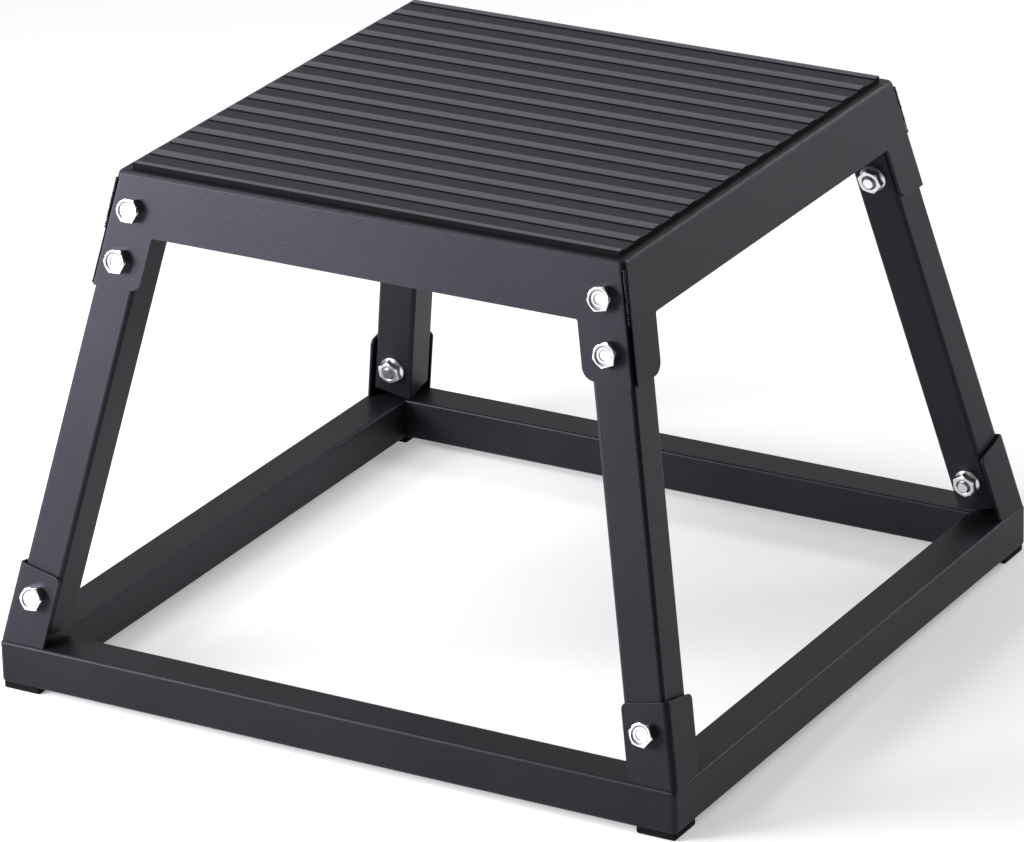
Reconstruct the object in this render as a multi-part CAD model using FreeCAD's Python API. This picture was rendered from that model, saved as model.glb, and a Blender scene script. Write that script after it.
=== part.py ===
import FreeCAD, Part
import math
import os

Vector = FreeCAD.Vector

# A low plyometric step: a square floor frame of welded tube, four leaning tube legs,
# a folded sheet-steel step plate bolted over their upper ends and a ribbed rubber mat.
# The origin is on the floor under the middle of the step, +Z is up, -Y is the front.
# Lengths are in millimetres.

# Overall sizes
step_height = 305.0            # floor to the rib tops of the mat
base_width = 432.0             # outer width of the square floor frame
plate_width = 317.0            # outer width of the step plate, its folds taken as sharp

# Floor frame
base_tube = 25.0
base_wall = 1.5
base_edge_radius = 2.5         # long edges of the tube
base_corner_radius = 3.0       # upright outer corners, ground round after welding

# Feet
foot_width = 24.0
foot_height = 4.0
foot_inset = 1.0               # outer faces of the frame to the foot
foot_corner_radius = 1.5
foot_rim = 0.8                 # bevel round the underside

# Legs
leg_tube = 25.0
leg_wall = 1.5
leg_edge_radius = 2.5
leg_side_clearance = 0.3       # leg to the inside of the side skirt
leg_top_gap = 3.0              # upper end to the underside of the step plate
leg_foot_gap = 2.2             # lowest corner of the leg to the floor frame

# Step plate
plate_sheet = 2.0
plate_fold_radius = 3.0        # outside of the fold
skirt_depth = 35.0             # down the slope from the fold
ear_depth = 66.5               # down the slope from the fold
front_ear_width = 32.0         # ears of the front and back skirts, which take the bolts
side_ear_width = 28.5          # ears of the left and right skirts
ear_corner_radius = 6.5
skirt_corner_radius = 1.2      # where an ear meets the skirt's lower edge
corner_slot = 3.0              # open slot between neighbouring skirts
slot_start = 4.0               # sharp corner to the middle of the slot's round end

# Mat
mat_width = 305.0
mat_thickness = 3.0            # underside to rib tops
rib_height = 1.0
rib_width = 7.4
rib_pitch = 20.2

# Brackets between the floor frame and the legs
bracket_sheet = 2.0
bracket_setback = 0.8          # outer faces of the frame to the line of the brackets and skirts
bracket_fold_radius = 3.5      # outside of the fold
bracket_width = 28.5           # each wing, from the outside of the fold
bracket_side_gap = 1.0         # leg to the inside of the side wing
bracket_height = 49.0          # along the leg
bracket_corner_radius = 3.5

# Bolts and nuts
bolt_diameter = 8.0
bolt_hole_clearance = 0.5      # all round the bolt
bolt_head_width = 13.0         # across flats
bolt_head_height = 5.3
head_rim_width = 1.6           # flat ring round the dish in the head
head_dish_depth = 0.4
head_pip_width = 5.0           # deeper round in the middle of the dish
bolt_stickout = 1.2            # past the nut
bolt_tip_chamfer = 1.0
upper_bolt_drop = 18.5         # along the leg, below the corner of the step plate
bolt_spacing = 30.0            # upper to lower bolt of the step plate
base_bolt_rise = 29.0          # along the leg, above the floor frame
nut_width = 13.0               # across flats
nut_height = 5.8
nut_flange_width = 16.0
nut_flange_height = 1.6
thread_clearance = 0.2

# Angles in degrees
hex_chamfer = 30.0
upper_bolt_turn = 0.0
lower_bolt_turn = 22.0
base_bolt_turn = 40.0

# Cutters reach this far past what they cut
overrun = 2.0

# Worked-out places
base_half = base_width / 2
plate_half = plate_width / 2
base_top = foot_height + base_tube
plate_top = step_height - mat_thickness
lean_slope = (base_half - bracket_setback - plate_half) / (plate_top - base_top)
lean = math.atan(lean_slope)
lean_sin = math.sin(lean)
lean_cos = math.cos(lean)

# Directions at the front right corner: out of the front, down the corner and out of the side
front_out = Vector(0, -lean_cos, lean_sin)
side_skirt_out = Vector(lean_cos, 0, lean_sin)
corner_down = Vector(lean_slope, -lean_slope, -1).normalize()
leg_up = -corner_down
side_out = front_out.cross(corner_down).normalize()
plate_corner = Vector(plate_half, -plate_half, plate_top)


# A closed wire of straight runs, with an arc at each corner that has a radius
def rounded_wire(corners):
    runs = []
    count = len(corners)
    for i in range(count):
        point, radius = corners[i]
        back = (corners[i - 1][0] - point).normalize()
        ahead = (corners[(i + 1) % count][0] - point).normalize()
        if radius == 0:
            runs.append((point, None, point))
            continue
        half_angle = back.getAngle(ahead) / 2
        reach = radius / math.tan(half_angle)
        middle = point + (back + ahead).normalize() * (radius / math.sin(half_angle) - radius)
        runs.append((point + back * reach, middle, point + ahead * reach))
    edges = []
    for i in range(count):
        start, middle, end = runs[i]
        if middle is not None:
            edges.append(Part.Arc(start, middle, end).toShape())
        following = runs[(i + 1) % count][0]
        if (following - end).Length > Part.Precision.confusion():
            edges.append(Part.LineSegment(end, following).toShape())
    return Part.Wire(edges)


def rounded_prism(corners, along):
    return Part.Face(rounded_wire(corners)).extrude(along)


# A rectangle in X and Y with rounded corners, raised to a block
def rounded_block(x_low, x_high, y_low, y_high, radius, z_low, z_high):
    outline = [(x_low, y_low), (x_high, y_low), (x_high, y_high), (x_low, y_high)]
    corners = [(Vector(x, y, z_low), radius) for x, y in outline]
    return rounded_prism(corners, Vector(0, 0, z_high - z_low))


# A square tube standing on Z, its outer faces at x = 0 and y = 0
def square_tube(width, wall, radius, z_low, z_high):
    outside = rounded_block(-width, 0, -width, 0, radius, z_low, z_high)
    bore_radius = max(radius - wall, wall / 2)
    bore = rounded_block(wall - width, -wall, wall - width, -wall, bore_radius,
                         z_low - overrun, z_high + overrun)
    return outside.cut(bore)


# The quarter of the plan that faces the front, between the two diagonals
def front_quarter(half_width, z_low, z_high):
    corners = [(0, 0), (-half_width, -half_width), (half_width, -half_width)]
    outline = [(Vector(x, y, z_low), 0) for x, y in corners]
    return rounded_prism(outline, Vector(0, 0, z_high - z_low))


def turned(shape, degrees):
    copy = shape.copy()
    copy.rotate(Vector(0, 0, 0), Vector(0, 0, 1), degrees)
    return copy


corner_mirrors = {
    "front_right": [],
    "front_left": [Vector(1, 0, 0)],
    "back_right": [Vector(0, 1, 0)],
    "back_left": [Vector(1, 0, 0), Vector(0, 1, 0)],
}


# Copies of a front right piece for the four corners
def four_corners(shape):
    copies = {}
    for corner, normals in corner_mirrors.items():
        copy = shape
        for normal in normals:
            copy = copy.mirror(Vector(0, 0, 0), normal)
        copies[corner] = copy
    return copies


# Leg frame: X points out of the leg's front face, Y out of its outer side and Z up the leg.
# Its origin is on the leg's outer front edge, beside the corner of the step plate.
def leg_frame():
    forward = -plate_sheet
    to_skirt = -(plate_sheet + leg_side_clearance)
    sideways = (to_skirt - forward * front_out.dot(side_skirt_out)) / side_out.dot(side_skirt_out)
    origin = plate_corner + front_out * forward + side_out * sideways
    return FreeCAD.Placement(FreeCAD.Matrix(
        front_out.x, side_out.x, leg_up.x, origin.x,
        front_out.y, side_out.y, leg_up.y, origin.y,
        front_out.z, side_out.z, leg_up.z, origin.z,
        0, 0, 0, 1))


leg_place = leg_frame()


def on_leg(shape):
    placed = shape.copy()
    placed.Placement = leg_place.multiply(shape.Placement)
    return placed


# Place along the leg where a line of it, at x and y in its section, reaches a height
def leg_reach(height, x, y):
    return (height - leg_place.multVec(Vector(x, y, 0)).z) / leg_up.z


bolt_side = -leg_tube / 2
upper_bolt_reach = -upper_bolt_drop
lower_bolt_reach = upper_bolt_reach - bolt_spacing
base_bolt_reach = leg_reach(base_top, 0, bolt_side) + base_bolt_rise
bolt_reaches = [upper_bolt_reach, lower_bolt_reach, base_bolt_reach]


# Bolt holes through the leg and all that is bolted to its front
def bolt_hole(reach):
    start = Vector(-leg_tube - overrun, bolt_side, reach)
    length = leg_tube + plate_sheet + bracket_sheet + 2 * overrun
    return Part.makeCylinder(bolt_diameter / 2 + bolt_hole_clearance, length, start, Vector(1, 0, 0))


# Leg: square tube with square-cut ends
def make_leg():
    lower = leg_reach(base_top + leg_foot_gap, -leg_tube, -leg_tube)
    upper = leg_reach(plate_top - plate_sheet - leg_top_gap, 0, 0)
    leg = square_tube(leg_tube, leg_wall, leg_edge_radius, lower, upper)
    return on_leg(leg.cut([bolt_hole(reach) for reach in bolt_reaches]))


# Bracket: folded angle round the leg's outer corner, cut level where it is welded down
def make_bracket():
    front = bracket_sheet
    side = bracket_side_gap + bracket_sheet
    front_end = side - bracket_width
    side_end = front - bracket_width
    upper = leg_reach(base_top, front, side) + bracket_height
    lower = leg_reach(base_top, side_end, front_end) - bracket_width
    section = [
        (Vector(front, front_end, lower), 0),
        (Vector(front, side, lower), bracket_fold_radius),
        (Vector(side_end, side, lower), 0),
        (Vector(side_end, bracket_side_gap, lower), 0),
        (Vector(0, bracket_side_gap, lower), bracket_fold_radius - bracket_sheet),
        (Vector(0, front_end, lower), 0),
    ]
    angle = rounded_prism(section, Vector(0, 0, upper - lower))
    same = Part.Precision.confusion()
    upper_edges = [edge for edge in angle.Edges if abs(edge.CenterOfMass.z - upper) < same]
    free_ends = [edge for edge in upper_edges
                 if min(abs(edge.CenterOfMass.x - side_end), abs(edge.CenterOfMass.y - front_end)) < same]
    angle = angle.makeFillet(bracket_corner_radius, free_ends)
    angle = on_leg(angle.cut(bolt_hole(base_bolt_reach)))
    below = Part.makeBox(base_width, base_width, base_top, Vector(0, -base_width, 0))
    return angle.cut(below)


# Foot: rubber pad glued under a corner of the floor frame
def make_foot():
    outer = base_half - foot_inset
    inner = outer - foot_width
    pad = rounded_block(inner, outer, -outer, -inner, foot_corner_radius, 0, foot_height)
    rim = [edge for edge in pad.Edges if edge.BoundBox.ZMax < foot_height / 2]
    return pad.makeChamfer(foot_rim, rim)


def hex_prism(flats, turn, start_x, length):
    corner_reach = flats / 2 / math.cos(math.pi / 6)
    points = []
    for i in range(6):
        angle = math.radians(turn) + i * math.pi / 3
        point = Vector(start_x, corner_reach * math.cos(angle), corner_reach * math.sin(angle))
        points.append((point, 0))
    return rounded_prism(points, Vector(length, 0, 0))


# Cone that takes the corners off the free end of a hexagon
def hex_cone(flats, start, height, outward):
    end_radius = flats / 2
    foot_radius = end_radius + height / math.tan(math.radians(hex_chamfer))
    return Part.makeCone(foot_radius, end_radius, height, start, outward)


# Hex bolt lying on X, pointing in, its head bearing on x = seat
def make_bolt(seat, turn):
    x_axis = Vector(1, 0, 0)
    face = seat + bolt_head_height
    head = hex_prism(bolt_head_width, turn, seat, bolt_head_height)
    head = head.common(hex_cone(bolt_head_width, Vector(seat, 0, 0), bolt_head_height, x_axis))
    dish_radius = bolt_head_width / 2 - head_rim_width
    dish = Part.makeCylinder(dish_radius, overrun, Vector(face - head_dish_depth, 0, 0), x_axis)
    pip = Part.makeCylinder(head_pip_width / 2, overrun, Vector(face - 2 * head_dish_depth, 0, 0), x_axis)
    tip = -leg_tube - nut_height - bolt_stickout
    shank = Part.makeCylinder(bolt_diameter / 2, seat - tip, Vector(tip, 0, 0), x_axis)
    tip_edge = min(shank.Edges, key=lambda edge: edge.CenterOfMass.x)
    shank = shank.makeChamfer(bolt_tip_chamfer, [tip_edge])
    return head.cut([dish, pip]).fuse(shank)


# Flange nut bearing on the leg's inner face
def make_nut(turn):
    inward = Vector(-1, 0, 0)
    seat = Vector(-leg_tube, 0, 0)
    body = hex_prism(nut_width, turn, seat.x - nut_height, nut_height)
    body = body.common(hex_cone(nut_width, seat, nut_height, inward))
    rim = Part.makeCylinder(nut_flange_width / 2, nut_flange_height / 2, seat, inward)
    slope_start = seat + inward * (nut_flange_height / 2)
    slope_height = (nut_flange_width - nut_width) / 2
    slope = Part.makeCone(nut_flange_width / 2, nut_width / 2, slope_height, slope_start, inward)
    bore_start = seat - inward * overrun
    bore_radius = bolt_diameter / 2 + thread_clearance
    bore = Part.makeCylinder(bore_radius, nut_height + 2 * overrun, bore_start, inward)
    return body.fuse([rim, slope]).cut(bore).removeSplitter()


def at_bolt(shape, reach):
    moved = shape.copy()
    moved.translate(Vector(0, bolt_side, reach))
    return on_leg(moved)


# Front tube of the floor frame, mitred at both ends
def make_base_tube():
    tube = square_tube(base_tube, base_wall, base_edge_radius, -base_width, base_width)
    tube.rotate(Vector(0, 0, 0), Vector(0, 1, 0), 90)
    tube.translate(Vector(0, base_tube - base_half, base_top - base_tube))
    quarter = front_quarter(base_width, 0, 2 * base_top)
    rounding = rounded_block(-base_half, base_half, -base_half, base_half, base_corner_radius,
                             0, 2 * base_top)
    return tube.common(quarter).common(rounding)


# Point of the front skirt's outer face, from its place across and its distance down the slope
def on_front_skirt(across, down):
    return Vector(across, -plate_half - down * lean_sin, plate_top - down * lean_cos)


# One side of the step plate: its quarter of the top, the fold and the skirt with its two ears
def plate_side(ear_width):
    depth = ear_depth + overrun
    inner_corner = -plate_half + plate_sheet * (1 - lean_sin) / lean_cos
    span = plate_width + base_width
    skirt_end = on_front_skirt(-span / 2, depth)
    section = [
        (Vector(-span / 2, 0, plate_top - plate_sheet), 0),
        (Vector(-span / 2, 0, plate_top), 0),
        (on_front_skirt(-span / 2, 0), plate_fold_radius),
        (skirt_end, 0),
        (skirt_end - front_out * plate_sheet, 0),
        (Vector(-span / 2, inner_corner, plate_top - plate_sheet), plate_fold_radius - plate_sheet),
    ]
    side = rounded_prism(section, Vector(span, 0, 0))
    side = side.common(front_quarter(span, 0, 2 * plate_top))
    ear_top = plate_half + skirt_depth * lean_sin - ear_width
    ear_end = plate_half + ear_depth * lean_sin - ear_width
    outline = [
        (-span / 2, ear_depth, 0),
        (-ear_end, ear_depth, ear_corner_radius),
        (-ear_top, skirt_depth, skirt_corner_radius),
        (ear_top, skirt_depth, skirt_corner_radius),
        (ear_end, ear_depth, ear_corner_radius),
        (span / 2, ear_depth, 0),
        (span / 2, depth + overrun, 0),
        (-span / 2, depth + overrun, 0),
    ]
    corners = [(on_front_skirt(x, d) + front_out * overrun, r) for x, d, r in outline]
    window = rounded_prism(corners, -front_out * (plate_sheet + 2 * overrun))
    return side.cut(window)


# Slot down the front right corner, round at its upper end
def corner_slot_cutter():
    across = Vector(1, 1, 0).normalize()
    outward = across.cross(corner_down).normalize()
    depth = 2 * plate_sheet + 2 * overrun
    start = plate_corner + corner_down * slot_start + outward * overrun
    round_end = Part.makeCylinder(corner_slot / 2, depth, start, -outward)
    length = ear_depth + overrun
    half = across * (corner_slot / 2)
    end = start + corner_down * length
    points = [start - half, start + half, end + half, end - half]
    return round_end.fuse(rounded_prism([(point, 0) for point in points], -outward * depth))


def make_plate():
    sides = [turned(plate_side(front_ear_width), angle) for angle in (0, 180)]
    sides += [turned(plate_side(side_ear_width), angle) for angle in (90, 270)]
    plate = sides[0].fuse(sides[1:]).removeSplitter()
    cutters = [corner_slot_cutter()]
    cutters += [on_leg(bolt_hole(reach)) for reach in (upper_bolt_reach, lower_bolt_reach)]
    for cutter in cutters:
        plate = plate.cut(list(four_corners(cutter).values()))
    return plate


# Mat: one rubber sheet with flat ribs that run across the step
def make_mat():
    half = mat_width / 2
    band = step_height - rib_height
    pairs = int((half + rib_width / 2) / rib_pitch + 1 / 2)
    outline = [(-half, plate_top)]
    for i in range(-pairs, pairs):
        middle = (i + 1 / 2) * rib_pitch
        near = max(middle - rib_width / 2, -half)
        far = min(middle + rib_width / 2, half)
        outline += [(near, band), (near, step_height), (far, step_height), (far, band)]
    outline += [(half, band), (half, plate_top)]
    points = [Vector(-half, y, z) for y, z in outline]
    same = Part.Precision.confusion()
    corners = [(point, 0) for i, point in enumerate(points) if (point - points[i - 1]).Length > same]
    return rounded_prism(corners, Vector(mat_width, 0, 0))


nodes = {"step_plate": make_plate(), "ribbed_mat": make_mat()}
for kind, piece in (("leg", make_leg()), ("base_bracket", make_bracket()), ("rubber_foot", make_foot())):
    for corner, copy in four_corners(piece).items():
        nodes[kind + "_" + corner] = copy
front_tube = make_base_tube()
for place, angle in (("front", 0), ("right", 90), ("back", 180), ("left", 270)):
    nodes["base_tube_" + place] = turned(front_tube, angle)

step_places = [(upper_bolt_reach, upper_bolt_turn), (lower_bolt_reach, lower_bolt_turn)]
base_places = [(base_bolt_reach, base_bolt_turn)]
for name, seat, places in (("step", plate_sheet, step_places), ("base", bracket_sheet, base_places)):
    bolts = []
    nuts = []
    for reach, turn in places:
        bolts += four_corners(at_bolt(make_bolt(seat, turn), reach)).values()
        nuts += four_corners(at_bolt(make_nut(turn), reach)).values()
    nodes[name + "_bolts"] = Part.Compound(bolts)
    nodes[name + "_nuts"] = Part.Compound(nuts)

os.makedirs("parts", exist_ok=True)
for name, shape in nodes.items():
    shape.exportStep("parts/" + name + ".step")
    print(name, len(shape.Solids), "solids", round(shape.Volume), "mm3")
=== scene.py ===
import bpy
import bmesh
import math
import random
from mathutils import Matrix, Vector


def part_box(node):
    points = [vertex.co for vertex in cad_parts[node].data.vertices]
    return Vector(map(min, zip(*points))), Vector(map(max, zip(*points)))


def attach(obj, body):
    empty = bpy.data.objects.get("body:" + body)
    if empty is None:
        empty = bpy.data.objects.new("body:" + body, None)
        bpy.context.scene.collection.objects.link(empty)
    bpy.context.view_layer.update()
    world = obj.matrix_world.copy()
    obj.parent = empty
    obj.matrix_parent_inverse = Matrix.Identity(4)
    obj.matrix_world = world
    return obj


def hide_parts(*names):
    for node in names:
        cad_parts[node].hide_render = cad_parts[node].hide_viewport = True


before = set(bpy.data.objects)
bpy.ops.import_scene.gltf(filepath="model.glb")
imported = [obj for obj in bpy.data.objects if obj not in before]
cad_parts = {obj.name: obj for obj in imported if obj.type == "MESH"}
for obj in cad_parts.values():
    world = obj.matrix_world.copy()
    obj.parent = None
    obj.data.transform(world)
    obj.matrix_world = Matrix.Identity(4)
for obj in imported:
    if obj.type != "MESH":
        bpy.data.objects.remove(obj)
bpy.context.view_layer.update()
scene = bpy.context.scene
mm = 0.001  # sizes are in millimetres, Blender works in metres
print("frame loaded:", len(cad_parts), "nodes")

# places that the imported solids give
baseLow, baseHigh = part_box("base_tube_front")
matLow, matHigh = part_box("ribbed_mat")
footLow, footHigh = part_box("rubber_foot_front_right")
halfBase = -baseLow.y
baseTop = baseHigh.z
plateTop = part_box("step_plate")[1].z


# Materials

def linearColour(hexColour):
    channels = [int(hexColour[i:i + 2], 16) / 255 for i in (1, 3, 5)]
    linear = [c / 12.92 if c <= 0.04045 else ((c + 0.055) / 1.055) ** 2.4 for c in channels]
    return (*linear, 1.0)


# adds a node, sets it up, and links every input that is given a socket
def addNode(tree, kind, inputs=None, **settings):
    node = tree.nodes.new(kind)
    for name, value in settings.items():
        setattr(node, name, value)
    for name, value in (inputs or {}).items():
        if isinstance(value, bpy.types.NodeSocket):
            tree.links.new(value, node.inputs[name])
        else:
            node.inputs[name].default_value = value
    return node


def newMaterial(name):
    material = bpy.data.materials.new(name)
    material.use_nodes = True
    tree = material.node_tree
    tree.nodes.clear()
    output = addNode(tree, "ShaderNodeOutputMaterial")
    shader = addNode(tree, "ShaderNodeBsdfPrincipled")
    tree.links.new(shader.outputs[0], output.inputs["Surface"])
    return material, tree, shader


coat = {
    "dark": "#0d0d10", "light": "#17171b", "toneLow": 0.12, "toneHigh": 0.42,
    "sheen": "#e2e1fa",
    "grit": 0.9,        # mm, grain of the baked powder, coarsened from about 0.4 so that it shows
    "gritStrength": 0.42, "gritHeight": 0.2,
    "peel": 5.0,        # mm, slow waviness of the film
    "peelStrength": 0.2, "peelHeight": 0.10,
    "cloud": 60.0,      # mm, faint tone drift over a panel
    "roughLow": 0.40, "roughHigh": 0.50,
    "ior": 1.5,
    "gloss": 0.27,      # the gritty skin hides part of the film's shine
}


# baked polyester powder on steel: satin near-black, finely gritty, with soft broad highlights
def powderCoat():
    material, tree, shader = newMaterial("satinPowderCoat")
    place = addNode(tree, "ShaderNodeTexCoord").outputs["Object"]
    grit = addNode(tree, "ShaderNodeTexNoise", {"Vector": place, "Scale": 1 / (coat["grit"] * mm),
                   "Detail": 2.0, "Roughness": 0.6})
    peel = addNode(tree, "ShaderNodeTexNoise", {"Vector": place, "Scale": 1 / (coat["peel"] * mm),
                   "Detail": 1.0})
    cloud = addNode(tree, "ShaderNodeTexNoise", {"Vector": place, "Scale": 1 / (coat["cloud"] * mm),
                    "Detail": 2.0})
    tone = addNode(tree, "ShaderNodeMath", {0: grit.outputs["Fac"], 1: cloud.outputs["Fac"]},
                   operation="MULTIPLY")
    colour = addNode(tree, "ShaderNodeValToRGB", {"Fac": tone.outputs[0]})
    colour.color_ramp.elements[0].position = coat["toneLow"]
    colour.color_ramp.elements[0].color = linearColour(coat["dark"])
    colour.color_ramp.elements[1].position = coat["toneHigh"]
    colour.color_ramp.elements[1].color = linearColour(coat["light"])
    rough = addNode(tree, "ShaderNodeMapRange", {"Value": grit.outputs["Fac"],
                    "To Min": coat["roughLow"], "To Max": coat["roughHigh"]})
    waves = addNode(tree, "ShaderNodeBump", {"Height": peel.outputs["Fac"],
                    "Strength": coat["peelStrength"], "Distance": coat["peelHeight"] * mm})
    grains = addNode(tree, "ShaderNodeBump", {"Height": grit.outputs["Fac"],
                     "Strength": coat["gritStrength"], "Distance": coat["gritHeight"] * mm,
                     "Normal": waves.outputs[0]})
    tree.links.new(colour.outputs["Color"], shader.inputs["Base Color"])
    tree.links.new(rough.outputs["Result"], shader.inputs["Roughness"])
    tree.links.new(grains.outputs[0], shader.inputs["Normal"])
    shader.inputs["IOR"].default_value = coat["ior"]
    shader.inputs["Specular IOR Level"].default_value = coat["gloss"]
    shader.inputs["Specular Tint"].default_value = linearColour(coat["sheen"])
    return material


plating = {
    "brush": 0.5,       # mm, fine marks from forming
    "markStrength": 0.08, "markHeight": 0.02,
    "patchLow": 0.30, "patchHigh": 0.65,    # patches of uneven brightness, sized by each finish
}
brightZinc = {"bright": "#f0f1f3", "dull": "#dcdee2", "roughLow": 0.08, "roughHigh": 0.13, "patch": 5.0}
satinZinc = {"bright": "#f0f1f3", "dull": "#dfe1e5", "roughLow": 0.26, "roughHigh": 0.36, "patch": 4.0}
# darker, duller copy of the plating for sunk steps and threads: painted shade
recessShadeZinc = {"bright": "#85878c", "dull": "#6a6c72", "roughLow": 0.38, "roughHigh": 0.50, "patch": 2.0}


# zinc plate on steel: nearly white metal with fine marks, bright on the bolt heads, softer on the nuts;
# the grey, dull copy used in sunk steps and threads is painted shade
def zincPlate(name, finish):
    material, tree, shader = newMaterial(name)
    place = addNode(tree, "ShaderNodeTexCoord").outputs["Object"]
    marks = addNode(tree, "ShaderNodeTexNoise", {"Vector": place, "Scale": 1 / (plating["brush"] * mm),
                    "Detail": 3.0})
    patch = addNode(tree, "ShaderNodeTexNoise", {"Vector": place, "Scale": 1 / (finish["patch"] * mm),
                    "Detail": 2.0})
    colour = addNode(tree, "ShaderNodeValToRGB", {"Fac": patch.outputs["Fac"]})
    colour.color_ramp.elements[0].position = plating["patchLow"]
    colour.color_ramp.elements[0].color = linearColour(finish["dull"])
    colour.color_ramp.elements[1].position = plating["patchHigh"]
    colour.color_ramp.elements[1].color = linearColour(finish["bright"])
    rough = addNode(tree, "ShaderNodeMapRange", {"Value": marks.outputs["Fac"],
                    "To Min": finish["roughLow"], "To Max": finish["roughHigh"]})
    bump = addNode(tree, "ShaderNodeBump", {"Height": marks.outputs["Fac"],
                   "Strength": plating["markStrength"], "Distance": plating["markHeight"] * mm})
    tree.links.new(colour.outputs["Color"], shader.inputs["Base Color"])
    tree.links.new(rough.outputs["Result"], shader.inputs["Roughness"])
    tree.links.new(bump.outputs[0], shader.inputs["Normal"])
    shader.inputs["Metallic"].default_value = 1.0
    return material


rubber = {
    # rib and band greys are painted sheen on black rubber, strongest on the rib tops
    "rib": "#3f3f4a", "band": "#1c1c26",
    "bandLevel": 0.7, "ribLevel": 0.5,          # mm under the crown of a rib
    "weave": 1.4,       # mm, threads of the pressing cloth, coarsened from about 0.8 so that they show
    "slack": 1.2,       # how far the threads wander
    "threadLight": 1.15, "threadDark": 0.70, "threadStrength": 0.6, "threadHeight": 0.25,
    "grain": 0.6,       # mm, matt grain of the rubber
    "grainDark": 0.80, "grainLight": 1.20, "grainStrength": 0.3, "grainHeight": 0.08,
    "bandRough": 0.72, "ribRough": 0.50,
    "ior": 1.52, "gloss": 0.40,
}


# pressed rubber sheet: the grey of its top is painted sheen over black rubber, lighter on the smooth rib
# tops, darker in the cloth-marked bands
def matRubber():
    material, tree, shader = newMaterial("pressedRubberMat")
    place = addNode(tree, "ShaderNodeTexCoord").outputs["Object"]
    height = addNode(tree, "ShaderNodeSeparateXYZ", {"Vector": place}).outputs["Z"]
    onRib = addNode(tree, "ShaderNodeMapRange", {"Value": height,
                    "From Min": matHigh.z - rubber["bandLevel"] * mm,
                    "From Max": matHigh.z - rubber["ribLevel"] * mm})
    bandPart = addNode(tree, "ShaderNodeMath", {0: 1.0, 1: onRib.outputs["Result"]},
                       operation="SUBTRACT", use_clamp=True)
    # at scale 1, one wave of the X bands is a tenth of pi long
    threadScale = math.pi / 10 / (rubber["weave"] * mm)
    threads = {"Vector": place, "Scale": threadScale, "Distortion": rubber["slack"], "Detail": 1.0,
               "Detail Scale": 3.0}
    weft = addNode(tree, "ShaderNodeTexWave", threads, bands_direction="X")
    warp = addNode(tree, "ShaderNodeTexWave", threads, bands_direction="DIAGONAL")
    cloth = addNode(tree, "ShaderNodeMath", {0: weft.outputs["Fac"], 1: warp.outputs["Fac"]},
                    operation="MULTIPLY")
    clothInBand = addNode(tree, "ShaderNodeMath", {0: cloth.outputs[0], 1: bandPart.outputs[0]},
                          operation="MULTIPLY")
    grain = addNode(tree, "ShaderNodeTexNoise", {"Vector": place, "Scale": 1 / (rubber["grain"] * mm),
                    "Detail": 2.0})
    # painted sheen: rib tops get the lighter grey, bands the darker
    shade = addNode(tree, "ShaderNodeMixRGB", {"Fac": onRib.outputs["Result"],
                    "Color1": linearColour(rubber["band"]), "Color2": linearColour(rubber["rib"])})
    speck = addNode(tree, "ShaderNodeMapRange", {"Value": grain.outputs["Fac"],
                    "To Min": rubber["grainDark"], "To Max": rubber["grainLight"]})
    lines = addNode(tree, "ShaderNodeMapRange", {"Value": clothInBand.outputs[0],
                    "To Min": rubber["threadLight"], "To Max": rubber["threadDark"]})
    pattern = addNode(tree, "ShaderNodeMath", {0: speck.outputs["Result"], 1: lines.outputs["Result"]},
                      operation="MULTIPLY")
    colour = addNode(tree, "ShaderNodeVectorMath", {0: shade.outputs["Color"],
                     1: pattern.outputs[0]}, operation="MULTIPLY")
    rough = addNode(tree, "ShaderNodeMapRange", {"Value": onRib.outputs["Result"],
                    "To Min": rubber["bandRough"], "To Max": rubber["ribRough"]})
    clothBump = addNode(tree, "ShaderNodeBump", {"Height": clothInBand.outputs[0],
                        "Strength": rubber["threadStrength"], "Distance": rubber["threadHeight"] * mm})
    grainBump = addNode(tree, "ShaderNodeBump", {"Height": grain.outputs["Fac"],
                        "Strength": rubber["grainStrength"], "Distance": rubber["grainHeight"] * mm,
                        "Normal": clothBump.outputs[0]})
    tree.links.new(colour.outputs[0], shader.inputs["Base Color"])
    tree.links.new(rough.outputs["Result"], shader.inputs["Roughness"])
    tree.links.new(grainBump.outputs[0], shader.inputs["Normal"])
    shader.inputs["IOR"].default_value = rubber["ior"]
    shader.inputs["Specular IOR Level"].default_value = rubber["gloss"]
    return material


padRubber = {
    "dark": "#08080a", "light": "#111114", "toneLow": 0.35, "toneHigh": 0.70,
    "grain": 0.8,       # mm, rough skin of the mould
    "grainStrength": 0.4, "grainHeight": 0.1,
    "roughLow": 0.65, "roughHigh": 0.85,
    "ior": 1.52,
    "gloss": 0.10,      # soot-filled rubber hardly shines
}
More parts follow.
